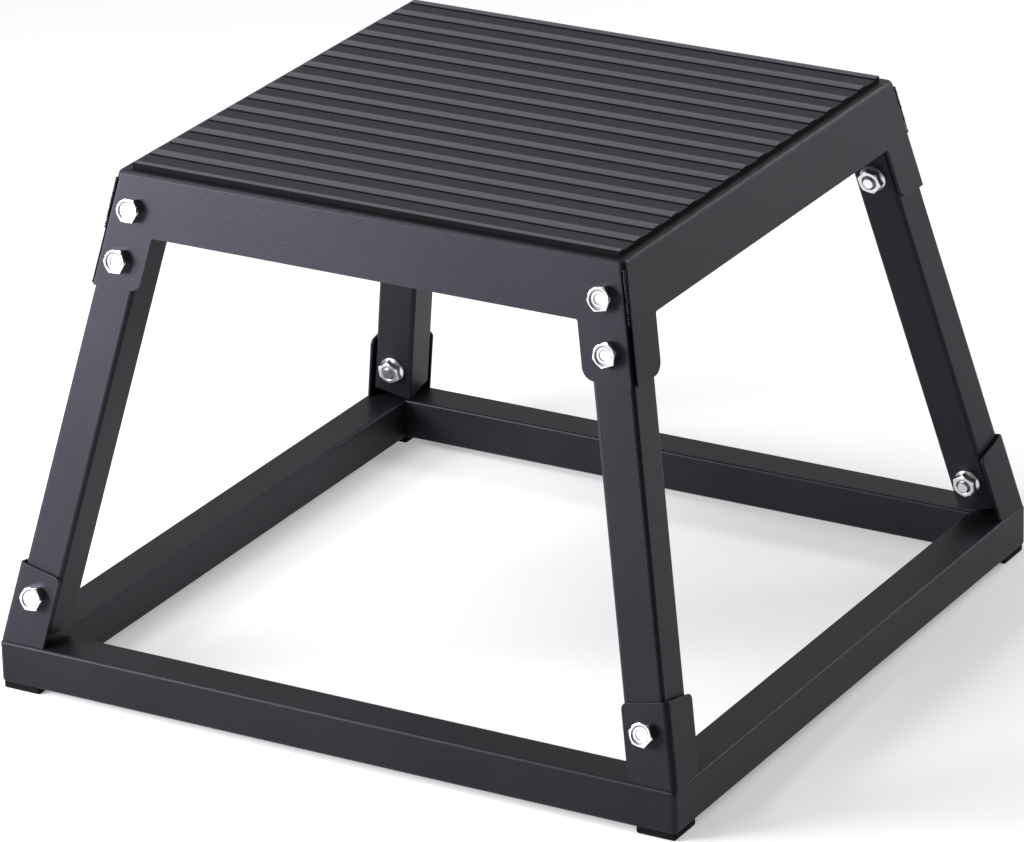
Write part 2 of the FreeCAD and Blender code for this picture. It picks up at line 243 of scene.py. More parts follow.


# plain rubber of the pads: matt black, faintly dusty; the same black on the mat's cut edges and rib sides
# is painted shade, against the mat's top painted with sheen
def plainRubber(name):
    material, tree, shader = newMaterial(name)
    place = addNode(tree, "ShaderNodeTexCoord").outputs["Object"]
    grain = addNode(tree, "ShaderNodeTexNoise", {"Vector": place, "Scale": 1 / (padRubber["grain"] * mm),
                    "Detail": 3.0})
    colour = addNode(tree, "ShaderNodeValToRGB", {"Fac": grain.outputs["Fac"]})
    colour.color_ramp.elements[0].position = padRubber["toneLow"]
    colour.color_ramp.elements[0].color = linearColour(padRubber["dark"])
    colour.color_ramp.elements[1].position = padRubber["toneHigh"]
    colour.color_ramp.elements[1].color = linearColour(padRubber["light"])
    rough = addNode(tree, "ShaderNodeMapRange", {"Value": grain.outputs["Fac"],
                    "To Min": padRubber["roughLow"], "To Max": padRubber["roughHigh"]})
    bump = addNode(tree, "ShaderNodeBump", {"Height": grain.outputs["Fac"],
                   "Strength": padRubber["grainStrength"], "Distance": padRubber["grainHeight"] * mm})
    tree.links.new(colour.outputs["Color"], shader.inputs["Base Color"])
    tree.links.new(rough.outputs["Result"], shader.inputs["Roughness"])
    tree.links.new(bump.outputs[0], shader.inputs["Normal"])
    shader.inputs["IOR"].default_value = padRubber["ior"]
    shader.inputs["Specular IOR Level"].default_value = padRubber["gloss"]
    return material


coatMaterial = powderCoat()
zincMaterial = zincPlate("brightZincPlate", brightZinc)
satinMaterial = zincPlate("satinZincPlate", satinZinc)
# the darker zinc for sunk steps and threads is painted shade
recessShadeMaterial = zincPlate("recessShadeZincPlate", recessShadeZinc)
matMaterial = matRubber()
# black rubber for the mat's sides: painted shade
matShadedSideMaterial = plainRubber("shadedRubberSide")
footMaterial = plainRubber("mouldedRubberFoot")
print("materials ready")


# Mesh tools

tiny = 0.001 * mm                   # points nearer than this are one point
close = 0.01 * mm                   # lies on a line or on a level
sliver = 0.02 * mm                  # shorter edges are left over from a cut
flatAngle = math.radians(0.5)       # faces that bend less than this are one flat face
facing = 0.9                        # a face looks along an axis when its normal reaches this
edgeSteps = 6                       # facets round a tube's edge
arcSteps = 8                        # facets round a fold or a cut corner


def roundEdges(bm, edges, radius, segments):
    bmesh.ops.bevel(bm, geom=edges, offset=radius, offset_type="OFFSET", affect="EDGES",
                    segments=segments, profile=0.5, material=-1, clamp_overlap=True)


def roundCorners(bm, spots, radius):
    bmesh.ops.bevel(bm, geom=spots, offset=radius, offset_type="OFFSET", affect="VERTICES",
                    segments=arcSteps, profile=0.5, material=-1)


# takes the sharpness off every edge that turns by more than the given angle
def softenEdges(bm, width, angle=40, segments=2):
    sharp = [e for e in bm.edges if e.is_manifold and e.calc_face_angle() > math.radians(angle)]
    roundEdges(bm, sharp, width, segments)


# cuts along a plane and gives the edges of the cut
def cutAlong(bm, spot, normal, **settings):
    cut = bmesh.ops.bisect_plane(bm, geom=bm.verts[:] + bm.edges[:] + bm.faces[:],
                                 plane_co=spot, plane_no=normal, **settings)
    return [e for e in cut["geom_cut"] if isinstance(e, bmesh.types.BMEdge)]


def makeBlock(size, middle):
    bm = bmesh.new()
    bmesh.ops.create_cube(bm, size=1)
    bmesh.ops.scale(bm, vec=size, verts=bm.verts)
    bmesh.ops.translate(bm, vec=middle, verts=bm.verts)
    return bm


def makeObject(name, bm):
    mesh = bpy.data.meshes.new(name)
    bm.to_mesh(mesh)
    bm.free()
    made = bpy.data.objects.new(name, mesh)
    scene.collection.objects.link(made)
    return made


# runs an object's modifiers once and gives the result as a bmesh, without the objects
def bakeModifiers(made, others=()):
    bpy.context.view_layer.update()
    solved = made.evaluated_get(bpy.context.evaluated_depsgraph_get())
    mesh = bpy.data.meshes.new_from_object(solved)
    bm = bmesh.new()
    bm.from_mesh(mesh)
    bpy.data.meshes.remove(mesh)
    for spent in [made, *others]:
        bpy.data.objects.remove(spent)
    return bm


# joins, cuts or intersects solids
def combine(bm, tool, operation):
    body = makeObject("body", bm)
    other = makeObject("tool", tool)
    boolean = body.modifiers.new("combine", "BOOLEAN")
    boolean.operation = operation
    boolean.solver = "EXACT"
    boolean.object = other
    return bakeModifiers(body, [other])


# puts a placed copy of a part into a mesh; a mirrored copy gets its faces turned outward again
def addTo(bm, part, matrix=Matrix()):
    copy = part.copy()
    bmesh.ops.transform(copy, matrix=matrix, verts=copy.verts)
    bmesh.ops.remove_doubles(copy, verts=copy.verts, dist=tiny)
    bmesh.ops.recalc_face_normals(copy, faces=copy.faces)
    mesh = bpy.data.meshes.new("part")
    copy.to_mesh(mesh)
    copy.free()
    bm.from_mesh(mesh)
    bpy.data.meshes.remove(mesh)


def finishPiece(name, bm, materials, nodes=(), smoothUnder=50):
    piece = makeObject(name, bm)
    for material in materials:
        piece.data.materials.append(material)
    piece.data.shade_smooth()
    piece.data.set_sharp_from_angle(angle=math.radians(smoothUnder))
    flatten = piece.modifiers.new("flatFaces", "WEIGHTED_NORMAL")
    flatten.keep_sharp = True
    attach(piece, "root")
    if nodes:
        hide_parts(*nodes)
    return piece


# Leaning corner: its directions, and the frame of the front right leg

stance = {
    "plateWidth": 317.0,        # over the folds, taken as sharp
    "plateSheet": 2.0,
    "bracketSetback": 0.8,      # outer face of a bracket behind that of the floor frame
    "skirtClearance": 0.3,      # leg to the side skirt
}

halfPlate = stance["plateWidth"] / 2 * mm
leanSlope = (halfBase - stance["bracketSetback"] * mm - halfPlate) / (plateTop - baseTop)
lean = math.atan(leanSlope)
frontOut = Vector((0, -math.cos(lean), math.sin(lean)))
sideSkirtOut = Vector((math.cos(lean), 0, math.sin(lean)))
cornerDown = Vector((leanSlope, -leanSlope, -1)).normalized()
legUp = -cornerDown
sideOut = frontOut.cross(cornerDown).normalized()
plateCorner = Vector((halfPlate, -halfPlate, plateTop))
cornerAcross = Vector((1, 1, 0)).normalized()
cornerInward = cornerAcross.cross(cornerDown).normalized()


# X out of the leg's front face, Y out of its outer side, Z up the leg
def legFrame():
    forward = -stance["plateSheet"] * mm
    toSkirt = forward - stance["skirtClearance"] * mm
    sideways = (toSkirt - forward * frontOut.dot(sideSkirtOut)) / sideOut.dot(sideSkirtOut)
    turn = Matrix((frontOut, sideOut, legUp)).transposed().to_4x4()
    return Matrix.Translation(plateCorner + frontOut * forward + sideOut * sideways) @ turn


legMatrix = legFrame()


# place along the leg where its line at x, y reaches a height
def legReach(height, x, y):
    return (height - (legMatrix @ Vector((x, y, 0))).z) / legUp.z


corners = {
    "front_right": Matrix.Diagonal((1, 1, 1, 1)),
    "front_left": Matrix.Diagonal((-1, 1, 1, 1)),
    "back_right": Matrix.Diagonal((1, -1, 1, 1)),
    "back_left": Matrix.Diagonal((-1, -1, 1, 1)),
}


# one mesh that holds a part at all four corners
def atCorners(part):
    bm = bmesh.new()
    for mirror in corners.values():
        addTo(bm, part, mirror)
    part.free()
    return bm


def finishCorners(name, bm, material):
    for corner, mirror in corners.items():
        copy = bmesh.new()
        addTo(copy, bm, mirror)
        node = name + "_" + corner
        finishPiece(node + "_dressed", copy, [material], [node])
    bm.free()


# Legs: square tube, open square-cut ends

leg = {
    "tube": 25.0, "wall": 1.5, "edgeRadius": 2.5,
    "topGap": 3.0, "footGap": 2.2,      # under the plate, and over the floor frame
    "cutEdge": 0.3,
}


def makeLeg():
    width = leg["tube"] * mm
    lower = legReach(baseTop + leg["footGap"] * mm, -width, -width)
    upper = legReach(plateTop - (stance["plateSheet"] + leg["topGap"]) * mm, 0, 0)
    bm = makeBlock((width, width, upper - lower), (-width / 2, -width / 2, (upper + lower) / 2))
    long = [e for e in bm.edges if e.calc_length() > 2 * width]
    roundEdges(bm, long, leg["edgeRadius"] * mm, edgeSteps)
    ends = [f for f in bm.faces if abs(f.normal.z) > facing]
    bmesh.ops.delete(bm, geom=ends, context="FACES_ONLY")
    bmesh.ops.solidify(bm, geom=bm.faces[:], thickness=leg["wall"] * mm)
    bm.normal_update()
    softenEdges(bm, leg["cutEdge"] * mm)
    bmesh.ops.transform(bm, matrix=legMatrix, verts=bm.verts)
    return bm


finishCorners("leg", makeLeg(), coatMaterial)
print("legs ready")


# Brackets: folded angle, cut level where it is welded to the floor frame

bracket = {
    "sheet": 2.0, "foldRadius": 3.5, "width": 28.5, "height": 49.0, "cornerRadius": 3.5,
    "sideGap": 1.0,     # leg to the inside of the side wing
    "cutEdge": 0.6,     # coating rounds the laser-cut edges
}


def makeBracket():
    front = bracket["sheet"] * mm
    side = (bracket["sheet"] + bracket["sideGap"]) * mm
    width = bracket["width"] * mm
    frontEnd = side - width
    sideEnd = front - width
    upper = legReach(baseTop, front, side) + bracket["height"] * mm
    lower = legReach(baseTop, sideEnd, frontEnd) - width
    bm = bmesh.new()
    outline = ((front, frontEnd), (front, side), (sideEnd, side))
    ends = [bm.verts.new((x, y, lower)) for x, y in outline]
    wings = [bm.edges.new((ends[0], ends[1])), bm.edges.new((ends[1], ends[2]))]
    raised = bmesh.ops.extrude_edge_only(bm, edges=wings)["geom"]
    top = [v for v in raised if isinstance(v, bmesh.types.BMVert)]
    bmesh.ops.translate(bm, vec=(0, 0, upper - lower), verts=top)
    foldLine = Vector((front, side))
    fold = [e for e in bm.edges if all((v.co.xy - foldLine).length < mm for v in e.verts)]
    free = [v for v in top if (v.co.xy - foldLine).length > mm]
    roundCorners(bm, free, bracket["cornerRadius"] * mm)
    roundEdges(bm, fold, bracket["foldRadius"] * mm, arcSteps)
    bmesh.ops.recalc_face_normals(bm, faces=bm.faces)
    if bm.faces[0].normal.x + bm.faces[0].normal.y < 0:
        bmesh.ops.reverse_faces(bm, faces=bm.faces)
    bmesh.ops.solidify(bm, geom=bm.faces[:], thickness=bracket["sheet"] * mm)
    bmesh.ops.transform(bm, matrix=legMatrix, verts=bm.verts)
    rim = cutAlong(bm, (0, 0, baseTop), (0, 0, 1), clear_inner=True)
    bmesh.ops.contextual_create(bm, geom=rim)
    bmesh.ops.recalc_face_normals(bm, faces=bm.faces)
    softenEdges(bm, bracket["cutEdge"] * mm)
    return bm


finishCorners("base_bracket", makeBracket(), coatMaterial)
print("brackets ready")


# Floor frame: four tubes welded at the mitres and ground flush, so one coated ring

ring = {
    "edgeRadius": 2.5, "cornerRadius": 3.0,
    "sharp": 60,        # degrees, level edges that turn by more are rounded
}


def makeFloorFrame():
    tube = baseTop - baseLow.z
    bm = makeBlock((2 * halfBase, 2 * halfBase, tube), (0, 0, baseLow.z + tube / 2))
    flats = [f for f in bm.faces if abs(f.normal.z) > facing]
    bmesh.ops.inset_individual(bm, faces=flats, thickness=tube, use_even_offset=True)
    rims = [e for f in flats for e in f.edges]
    bmesh.ops.delete(bm, geom=flats, context="FACES_ONLY")
    bmesh.ops.bridge_loops(bm, edges=rims)
    bmesh.ops.recalc_face_normals(bm, faces=bm.faces)
    upright = [e for e in bm.edges if abs(e.verts[0].co.z - e.verts[1].co.z) > tube / 2
               and abs(e.verts[0].co.x) > halfBase - mm]
    roundEdges(bm, upright, ring["cornerRadius"] * mm, edgeSteps)
    long = [e for e in bm.edges if e.calc_face_angle(0) > math.radians(ring["sharp"])
            and abs(e.verts[0].co.z - e.verts[1].co.z) < mm]
    roundEdges(bm, long, ring["edgeRadius"] * mm, edgeSteps)
    return bm


finishPiece("floor_frame", makeFloorFrame(), [coatMaterial],
            ["base_tube_front", "base_tube_right", "base_tube_back", "base_tube_left"])
print("floor frame ready")


# Step plate: one sheet folded down on four sides, with ears over the legs and slots at the corners

plate = {
    "foldRadius": 3.0,
    "skirtDepth": 35.0, "earDepth": 66.5,
    "frontEar": 32.0, "sideEar": 28.5,
    "earRadius": 6.5, "skirtRadius": 1.2,
    "slotWidth": 3.0, "slotStart": 6.0,
    "slotRoundShare": 0.499,    # of the slot's width, just under a full round end
    "ridgeRadius": 3.5,         # corner between two skirts, mostly cut away by the slot
    "cutEdge": 0.6,             # coating rounds the laser-cut edges
}


def skirtPoint(across, down):
    return Vector((across, -halfPlate - down * math.sin(lean), plateTop - down * math.cos(lean)))


# the skirt of one side with its two ears, as a flat outline that hangs from the fold
def addSkirt(bm, earWidth, turn):
    ear = earWidth * mm
    skirt = plate["skirtDepth"] * mm
    depth = plate["earDepth"] * mm
    earTop = halfPlate + skirt * math.sin(lean) - ear
    earEnd = halfPlate + depth * math.sin(lean) - ear
    outside = halfPlate + depth * math.sin(lean)
    half = [(outside, depth), (earEnd, depth), (earTop, skirt)]
    outline = [(halfPlate, 0)] + half + [(-x, d) for x, d in reversed(half)] + [(-halfPlate, 0)]
    spot = [bm.verts.new(turn @ skirtPoint(x, d)) for x, d in outline]
    bm.faces.new(spot)
    for near, radius in ((spot[2], "earRadius"), (spot[5], "earRadius"),
                         (spot[3], "skirtRadius"), (spot[4], "skirtRadius")):
        roundCorners(bm, [near], plate[radius] * mm)


def slotCutter():
    width = plate["slotWidth"] * mm
    length = 2 * plate["earDepth"] * mm         # runs out past the ears
    thick = 6 * stance["plateSheet"] * mm       # goes well through the folded sheet
    bm = makeBlock((width, thick, length), (0, 0, 0))
    upper = [e for e in bm.edges if all(v.co.z > 0 for v in e.verts)
             and abs(e.verts[0].co.y - e.verts[1].co.y) > mm]
    roundEdges(bm, upper, plate["slotRoundShare"] * width, arcSteps)
    turn = Matrix((cornerAcross, cornerInward, -cornerDown)).transposed().to_4x4()
    middle = plateCorner + cornerDown * (plate["slotStart"] * mm - width / 2 + length / 2)
    bmesh.ops.transform(bm, matrix=Matrix.Translation(middle) @ turn, verts=bm.verts)
    bmesh.ops.recalc_face_normals(bm, faces=bm.faces)
    return bm


def topFace(bm):
    return max(bm.faces, key=lambda f: f.calc_center_median().z)


def makePlate():
    bm = bmesh.new()
    for earWidth, degrees in ((plate["frontEar"], 0), (plate["sideEar"], 90),
                              (plate["frontEar"], 180), (plate["sideEar"], 270)):
        addSkirt(bm, earWidth, Matrix.Rotation(math.radians(degrees), 3, "Z"))
    bmesh.ops.remove_doubles(bm, verts=bm.verts, dist=close)
    topEdges = [e for e in bm.edges if all(v.co.z > plateTop - close for v in e.verts)]
    bmesh.ops.contextual_create(bm, geom=topEdges)
    bmesh.ops.recalc_face_normals(bm, faces=bm.faces)
    top = topFace(bm)
    if top.normal.z < 0:
        bmesh.ops.reverse_faces(bm, faces=bm.faces)
    ridges = [e for v in top.verts for e in v.link_edges if e not in top.edges[:]]
    roundEdges(bm, ridges, plate["ridgeRadius"] * mm, edgeSteps)
    foldAngle = math.pi / 2 - lean
    foldRun = plate["foldRadius"] * mm * math.tan(foldAngle / 2)
    roundEdges(bm, list(topFace(bm).edges), foldRun, arcSteps)
    bmesh.ops.solidify(bm, geom=bm.faces[:], thickness=stance["plateSheet"] * mm)
    bmesh.ops.recalc_face_normals(bm, faces=bm.faces)
    bm = combine(bm, atCorners(slotCutter()), "DIFFERENCE")
    bmesh.ops.remove_doubles(bm, verts=bm.verts, dist=sliver)
    bmesh.ops.dissolve_limit(bm, angle_limit=flatAngle, verts=bm.verts, edges=bm.edges)
    softenEdges(bm, plate["cutEdge"] * mm)
    return bm


finishPiece("step_plate_dressed", makePlate(), [coatMaterial], ["step_plate"])
print("step plate ready")


# Mat: flat ribs across the step, and fine ridges pressed into the bands between them

mat = {
    "ribPitch": 20.2, "ribWidth": 7.4, "ribHeight": 1.0,
    # share of the way across a rib, and drop under its crown
    "ribProfile": [(0.0, 0.30), (0.10, 0.07), (0.5, 0.0), (0.90, 0.07), (1.0, 0.30)],
    "ridges": 8,            # fine ridges in a band
    "ridgeHeight": 0.25,
    "grooveWidth": 0.8, "grooveDepth": 0.6,     # sharp nick that the press leaves before each rib
    "edgeRoom": 0.1,        # lines nearer than this to the mat's edge are left out
    "steep": 0.5,           # faces whose normals rise less than this take the black side rubber: painted shade
}


# how far each line of a rib lies under its crown, and each line of a band is raised
def matLines(ribMiddles, half):
    pitch = mat["ribPitch"] * mm
    width = mat["ribWidth"] * mm
    drops = {}
    lifts = {}
    for middle in ribMiddles:
        for share, drop in mat["ribProfile"]:
            line = middle + (share - 0.5) * width
            if abs(line) < half - mat["edgeRoom"] * mm:
                drops[line] = drop * mm
    for middle in ribMiddles[:-1]:
        start = middle + width / 2
        end = middle + pitch - width / 2
        nick = end - mat["grooveWidth"] * mm
        for i in range(1, 2 * mat["ridges"]):
            lifts[start + (nick - start) * i / (2 * mat["ridges"])] = (i % 2) * mat["ridgeHeight"] * mm
        lifts[nick] = 0.0
        lifts[end] = -mat["grooveDepth"] * mm
    return drops, lifts


# the height change of the line that a point lies on, if it lies on one
def lineChange(lines, y):
    nearest = min(lines, key=lambda line: abs(line - y))
    return lines[nearest] if abs(nearest - y) < close else 0.0


def makeMat():
    half = matHigh.y
    pitch = mat["ribPitch"] * mm
    width = mat["ribWidth"] * mm
    ribHeight = mat["ribHeight"] * mm
    bandTop = matHigh.z - ribHeight
    bm = makeBlock((2 * matHigh.x, 2 * half, bandTop - matLow.z), (0, 0, (bandTop + matLow.z) / 2))
    pairs = int((half + width / 2) / pitch + 0.5)
    ribMiddles = [(i + 0.5) * pitch for i in range(-pairs, pairs)]
    drops, lifts = matLines(ribMiddles, half)
    for line in [*drops, *lifts]:
        cutAlong(bm, (0, line, 0), (0, 1, 0), dist=tiny)
    top = [f for f in bm.faces if f.normal.z > facing]
    onRib = [f for f in top if any(abs(f.calc_center_median().y - m) < width / 2 for m in ribMiddles)]
    raised = bmesh.ops.extrude_face_region(bm, geom=onRib)["geom"]
    crown = [v for v in raised if isinstance(v, bmesh.types.BMVert)]
    bmesh.ops.translate(bm, vec=(0, 0, ribHeight), verts=crown)
    bmesh.ops.delete(bm, geom=[f for f in onRib if f.is_valid], context="FACES_ONLY")
    for v in bm.verts:
        if v.co.z > bandTop + ribHeight / 2:
            v.co.z -= lineChange(drops, v.co.y)
        elif v.co.z > bandTop - mat["edgeRoom"] * mm:
            v.co.z += lineChange(lifts, v.co.y)
    bmesh.ops.recalc_face_normals(bm, faces=bm.faces)
    for face in bm.faces:
        # steep faces get the black side rubber, painted shade; the rest the mat rubber with painted sheen
        face.material_index = int(abs(face.normal.z) < mat["steep"])
    return bm


finishPiece("ribbed_mat_dressed", makeMat(), [matMaterial, matShadedSideMaterial],
            ["ribbed_mat"], smoothUnder=40)
print("mat ready")


# Feet: moulded pads under the corners

foot = {"cornerRadius": 1.5, "cornerSteps": 5, "rim": 0.8, "rimSteps": 3}


def makeFoot():
    size = footHigh - footLow
    bm = makeBlock(size, (footLow + footHigh) / 2)
    upright = [e for e in bm.edges if abs(e.verts[0].co.z - e.verts[1].co.z) > size.z / 2]
    roundEdges(bm, upright, foot["cornerRadius"] * mm, foot["cornerSteps"])
    underside = [e for e in bm.edges if all(v.co.z < size.z / 4 for v in e.verts)]
    roundEdges(bm, underside, foot["rim"] * mm, foot["rimSteps"])
    return bm


finishCorners("rubber_foot", makeFoot(), footMaterial)
print("feet ready")


# Bolts and nuts

bolt = {
    "thread": 8.0, "pitch": 1.25, "threadDepth": 0.77, "threadLength": 8.0, "facets": 32,
    "flankShares": (0.40, 0.52, 0.92),          # of the pitch: crest start, crest end, root
    "spareTurns": 3, "seam": 0.005,             # thread cut off at the ends, and join of its turns
    "headFlats": 13.0, "headHeight": 5.3,
    "chamfer": 30.0, "chamferFacets": 64, "faceShare": 0.97,    # of the flats, round end face
    "hexTurn": 30.94,       # degrees, keeps the hexagon's corners off the facets of turned shapes
    "rim": 1.0, "dishSlope": 0.8, "dishDepth": 0.6,     # sunk middle of the cold-headed face
    "pip": 6.4, "pipSlope": 0.4, "pipDepth": 0.2,
    "wear": 0.12, "wearAngle": 25,
    "shankInHead": 0.2, "stickout": 1.2, "tipChamfer": 1.0,
    "upperDrop": 18.5, "spacing": 30.0, "baseRise": 29.0,
    "smoothUnder": 30,
}
nut = {
    "flats": 13.0, "height": 5.8, "hexLift": 0.4,       # the hexagon starts inside the flange
    "flange": 16.0, "flangeRim": 0.8, "rimEdge": 0.2, "rimSlope": 0.4, "flangeFacets": 64,
    "bore": 8.4, "countersink": 9.2, "overrun": 1.0, "boreFacets": 48,
    "wear": 0.1, "wearAngle": 35,
}
# where each head and nut came to rest when tightened, in degrees: upper, lower and base bolt
headTurns = {"front_right": (0, 11, 40), "front_left": (-13, -15, 44),
             "back_right": (8, 25, 15), "back_left": (35, 50, 5)}
nutTurns = {"front_right": (20, 5, 35), "front_left": (50, 15, 25),
            "back_right": (0, 22, 40), "back_left": (0, 22, 40)}


# hexagon standing on z = 0, its upper corners turned off by a cone
def makeHex(flats, height):
    reach = flats / 2 * mm
    point = reach / math.cos(math.pi / 6)
    bm = bmesh.new()
    bmesh.ops.create_cone(bm, cap_ends=True, segments=6, radius1=point, radius2=point, depth=height * mm)
    bmesh.ops.rotate(bm, matrix=Matrix.Rotation(math.radians(bolt["hexTurn"]), 3, "Z"), verts=bm.verts)
    cone = bmesh.new()
    small = bolt["faceShare"] * reach
    spread = height * mm / math.tan(math.radians(bolt["chamfer"]))
    bmesh.ops.create_cone(cone, cap_ends=True, segments=bolt["chamferFacets"], radius1=small + spread,
                          radius2=small, depth=height * mm)
    bm = combine(bm, cone, "INTERSECT")
    bmesh.ops.translate(bm, vec=(0, 0, height / 2 * mm), verts=bm.verts)
    bmesh.ops.dissolve_limit(bm, angle_limit=flatAngle, verts=bm.verts, edges=bm.edges)
    return bm


# points in the XZ plane, joined in a row
def addLine(bm, points):
    spots = [bm.verts.new((x, 0, z)) for x, z in points]
    return spots + [bm.edges.new(pair) for pair in zip(spots, spots[1:])]


# a solid of revolution from radius and height pairs
def turnedSolid(profile, steps):
    bm = bmesh.new()
    line = addLine(bm, [(radius * mm, height * mm) for radius, height in profile])
    bmesh.ops.spin(bm, geom=line, cent=(0, 0, 0), axis=(0, 0, 1), dvec=(0, 0, 0),
                   angle=2 * math.pi, steps=steps, use_merge=True)
    bmesh.ops.remove_doubles(bm, verts=bm.verts, dist=tiny)
    bmesh.ops.recalc_face_normals(bm, faces=bm.faces)
    return bm


# threaded end that points down from z = 0, chamfered at its tip
def makeThread():
    outer = bolt["thread"] / 2 * mm
    root = outer - bolt["threadDepth"] * mm
    pitch = bolt["pitch"] * mm
    tip = -bolt["threadLength"] * mm
    steps = bolt["facets"]
    spare = bolt["spareTurns"]
    turns = int(-tip / pitch) + spare
    crestStart, crestEnd, rootStart = bolt["flankShares"]
    profile = [(root, 0), (outer, crestStart), (outer, crestEnd), (root, rootStart), (root, 1)]
    bm = bmesh.new()
    line = addLine(bm, [(r, tip - spare / 2 * pitch + share * pitch) for r, share in profile])
    bmesh.ops.spin(bm, geom=line, cent=(0, 0, 0), axis=(0, 0, 1), dvec=(0, 0, pitch / steps),
                   angle=2 * math.pi * turns, steps=steps * turns, use_merge=False)
    bmesh.ops.remove_doubles(bm, verts=bm.verts, dist=bolt["seam"] * mm)
    for level, side in ((tip, -1), (0, 1)):
        rim = cutAlong(bm, (0, 0, level), (0, 0, side), clear_outer=True)
        bmesh.ops.contextual_create(bm, geom=rim)
    for v in bm.verts:
        room = outer - bolt["tipChamfer"] * mm + (v.co.z - tip)
        reach = v.co.xy.length
        if reach > room:
            v.co.xy *= room / reach
    bmesh.ops.recalc_face_normals(bm, faces=bm.faces)
    # thread flanks take the darker zinc, painted shade; the tip face stays bright
    for face in bm.faces:
        face.material_index = int(face.normal.z > -facing)
    return bm


# bolt along Z with its head's seat at z = 0
def makeBolt(sheet):
    bm = makeHex(bolt["headFlats"], bolt["headHeight"])
    face = topFace(bm)
    dish = bolt["headFlats"] / 2 - bolt["rim"]
    steps = ((bolt["rim"], 0), (bolt["dishSlope"], -bolt["dishDepth"]),
             (dish - bolt["dishSlope"] - bolt["pip"] / 2, 0), (bolt["pipSlope"], -bolt["pipDepth"]))
    # walls of the sunk steps take the darker zinc: painted shade
    for inset, rise in steps:
        walls = bmesh.ops.inset_region(bm, faces=[face], thickness=inset * mm, depth=rise * mm,
                                       use_even_offset=True, use_boundary=True)["faces"]
        for wall in walls:
            wall.material_index = int(rise < 0)
    softenEdges(bm, bolt["wear"] * mm, bolt["wearAngle"])
    reach = sheet + leg["tube"] + nut["height"] + bolt["stickout"]
    shankEnd = -reach + bolt["threadLength"]
    radius = bolt["thread"] / 2
    shank = turnedSolid([(0, shankEnd), (radius, shankEnd), (radius, bolt["shankInHead"]),
                         (0, bolt["shankInHead"])], bolt["facets"])
    addTo(bm, shank)
    shank.free()
    thread = makeThread()
    addTo(bm, thread, Matrix.Translation((0, 0, shankEnd * mm)))
    thread.free()
    return bm


# flange nut with its seat at z = 0 and its free end up
def makeNut():
    half = nut["flats"] / 2
    rim = nut["flange"] / 2
    edge = nut["rimEdge"]
    slope = nut["rimSlope"]
    lip = nut["flangeRim"]
    crown = rim - half + lip + slope
    bm = makeHex(nut["flats"], nut["height"] - nut["hexLift"])
    bmesh.ops.translate(bm, vec=(0, 0, nut["hexLift"] * mm), verts=bm.verts)
    flange = turnedSolid([(0, 0), (rim - edge, 0), (rim, edge), (rim, lip), (rim - slope, lip + slope),
                          (half - slope, crown), (0, crown)], nut["flangeFacets"])
    bm = combine(bm, flange, "UNION")
    bore = nut["bore"] / 2
    sink = nut["countersink"] / 2
    high = nut["height"]
    over = nut["overrun"]
    hole = turnedSolid([(0, -over), (sink + over, -over), (bore, sink - bore), (bore, high - sink + bore),
                        (sink + over, high + over), (0, high + over)], nut["boreFacets"])
    bm = combine(bm, hole, "DIFFERENCE")
    bmesh.ops.remove_doubles(bm, verts=bm.verts, dist=sliver)
    softenEdges(bm, nut["wear"] * mm, nut["wearAngle"])
    return bm


# turns a fastener's axis out of the leg's front, at a place along the leg, and tightens it
def fastenerPlace(reach, offset, outward, degrees):
    axis = Matrix(((0, 0, 1), (1, 0, 0), (0, 1, 0))).to_4x4()
    if not outward:
        axis = axis @ Matrix.Rotation(math.pi, 4, "Y")
    spot = Vector((offset, -leg["tube"] / 2 * mm, reach))
    return legMatrix @ Matrix.Translation(spot) @ axis @ Matrix.Rotation(math.radians(degrees), 4, "Z")


def dressFasteners(kind, sheet, places):
    bolts = bmesh.new()
    nuts = bmesh.new()
    oneBolt = makeBolt(sheet)
    oneNut = makeNut()
    for row, reach in places.items():
        for corner, mirror in corners.items():
            headPlace = fastenerPlace(reach, sheet * mm, True, headTurns[corner][row])
            nutPlace = fastenerPlace(reach, -leg["tube"] * mm, False, nutTurns[corner][row])
            addTo(bolts, oneBolt, mirror @ headPlace)
            addTo(nuts, oneNut, mirror @ nutPlace)
    oneBolt.free()
    oneNut.free()
    # the bolt heads' sunk steps and threads take the painted-shade zinc
    finishPiece(kind + "_bolts_dressed", bolts, [zincMaterial, recessShadeMaterial],
                [kind + "_bolts"], bolt["smoothUnder"])
    finishPiece(kind + "_nuts_dressed", nuts, [satinMaterial], [kind + "_nuts"],
                bolt["smoothUnder"])


upperReach = -bolt["upperDrop"] * mm
lowerReach = upperReach - bolt["spacing"] * mm
baseReach = legReach(baseTop, 0, -leg["tube"] / 2 * mm) + bolt["baseRise"] * mm
dressFasteners("step", stance["plateSheet"], {0: upperReach, 1: lowerReach})
dressFasteners("base", bracket["sheet"], {2: baseReach})
print("fasteners ready")


# Welds: a rippled bead down each corner slot

weld = {
    "start": 5.0, "end": 36.0, "step": 1.5, "sink": 1.0, "wander": 0.25,
    "radius": 1.0, "thinnest": 0.88, "thickest": 1.08,
    "taper": 0.35,          # share of its thickness that the bead loses on the way down
    "voxel": 0.16, "smooth": 0.3, "seed": 7,
}


